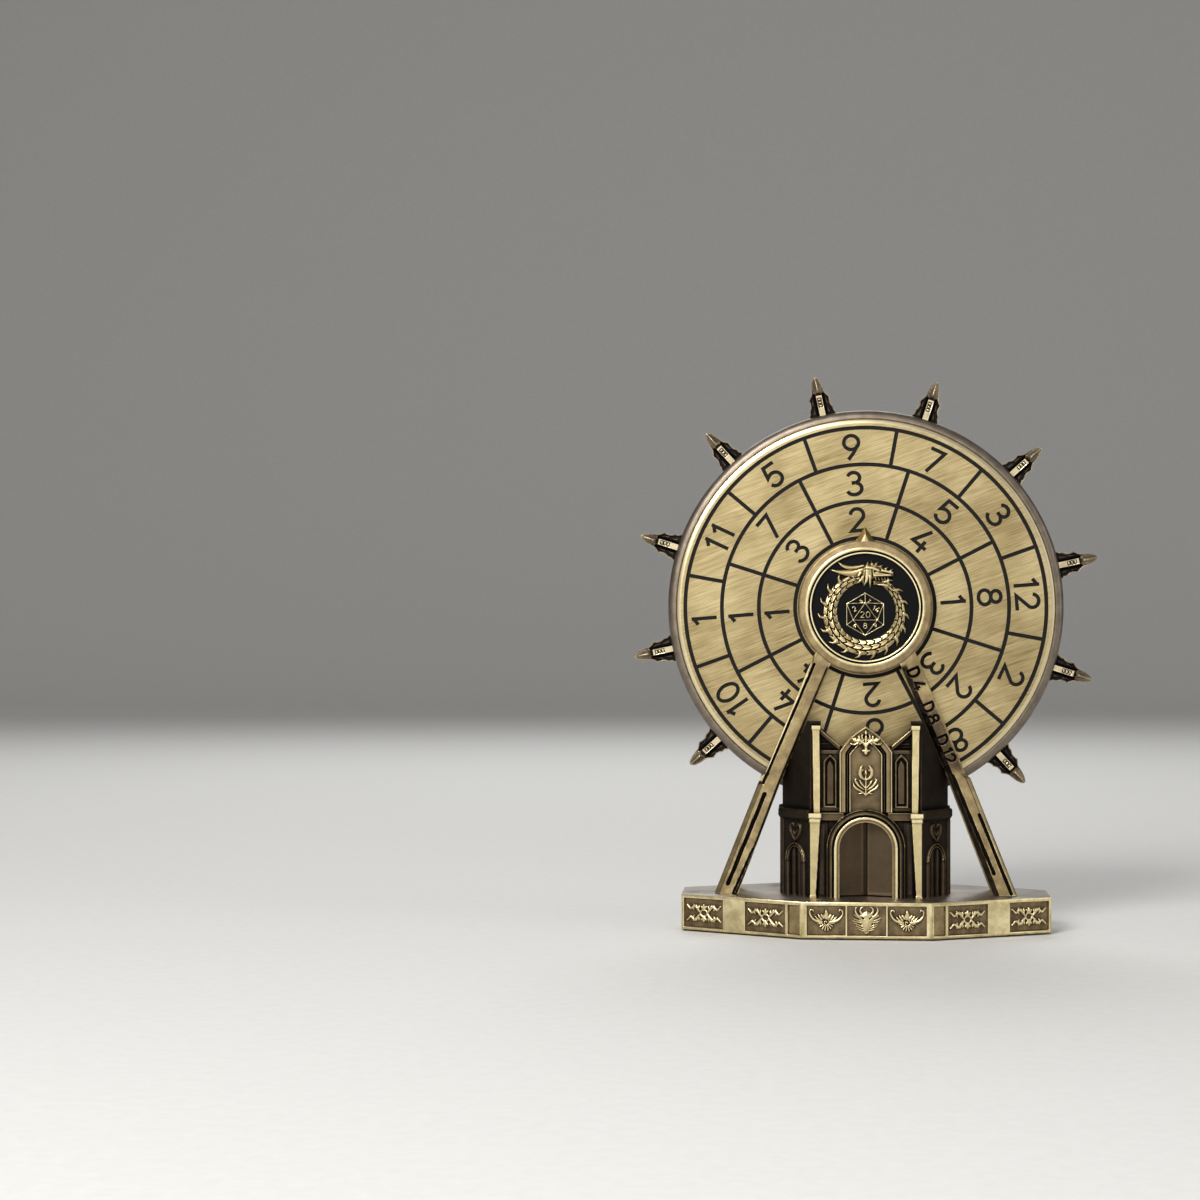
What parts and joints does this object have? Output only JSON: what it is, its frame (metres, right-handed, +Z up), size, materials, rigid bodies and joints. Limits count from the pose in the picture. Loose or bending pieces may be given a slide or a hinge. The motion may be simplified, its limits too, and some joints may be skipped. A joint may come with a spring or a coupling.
{
  "type": "dice wheel",
  "caption": "Antique-brass dice wheel: a numbered dial with spiked rim spins between two A-frames above a small gothic gatehouse on a long octagonal base.",
  "frame": {"origin": "middle of the underside, on the surface that it stands on", "axes": "+Z up; +Y from the front to the back, along the wheel's axle; +X to the right as seen from the front"},
  "size_m": [0.0914, 0.0368, 0.1094],
  "materials": {
    "brushed_brass": "straight hairline brushed, clear lacquer, black-filled engraving",
    "antique_brass": "antiqued: bright on raised edges, brown in recesses",
    "dark_bronze": "dark antiqued, satin",
    "black_enamel": "black enamel ground with brass relief",
    "steel": "ground bearing steel and zinc-plated screws",
    "felt": "black felt"
  },
  "bodies": {
    "stand": {"base_casting": "antique_brass", "base_pad": "felt", "axle": "steel", "bearing_inner_race": "steel", "frame_front": "antique_brass", "medallion_front": "black_enamel", "castle_front": "dark_bronze", "axle_screw_front": "steel", "gate_leaf_front_left": "dark_bronze", "frame_screw_front_left": "steel", "castle_screw_front_left": "steel", "gate_leaf_front_right": "dark_bronze", "frame_screw_front_right": "steel", "castle_screw_front_right": "steel", "frame_rear": "antique_brass", "medallion_rear": "black_enamel", "castle_rear": "dark_bronze", "axle_screw_rear": "steel", "gate_leaf_rear_left": "dark_bronze", "frame_screw_rear_left": "steel", "castle_screw_rear_left": "steel", "gate_leaf_rear_right": "dark_bronze", "frame_screw_rear_right": "steel", "castle_screw_rear_right": "steel"},
    "wheel": {"wheel_body": "dark_bronze", "dial_front": "brushed_brass", "dial_rear": "brushed_brass", "finial_01": "antique_brass", "finial_02": "antique_brass", "finial_03": "antique_brass", "finial_04": "antique_brass", "finial_05": "antique_brass", "finial_06": "antique_brass", "finial_07": "antique_brass", "finial_08": "antique_brass", "finial_09": "antique_brass", "finial_10": "antique_brass", "finial_11": "antique_brass", "finial_12": "antique_brass", "bearing_outer_race": "steel", "bearing_shield_front": "steel", "bearing_shield_rear": "steel"},
    "ball_cage": {"bearing_ball_cage": "steel"}
  },
  "joints": [
    {"name": "wheel_spin", "type": "hinge", "parent": "stand", "child": "wheel", "pos_m": [0, 0, 0.0637], "axis": [0, 1, 0], "continuous": true},
    {"name": "cage_spin", "type": "hinge", "parent": "stand", "child": "ball_cage", "pos_m": [0, 0, 0.0637], "axis": [0, 1, 0], "continuous": true}
  ],
  "couplings": [
    {"joint": "cage_spin", "follows": "wheel_spin", "ratio": 0.58}
  ]
}
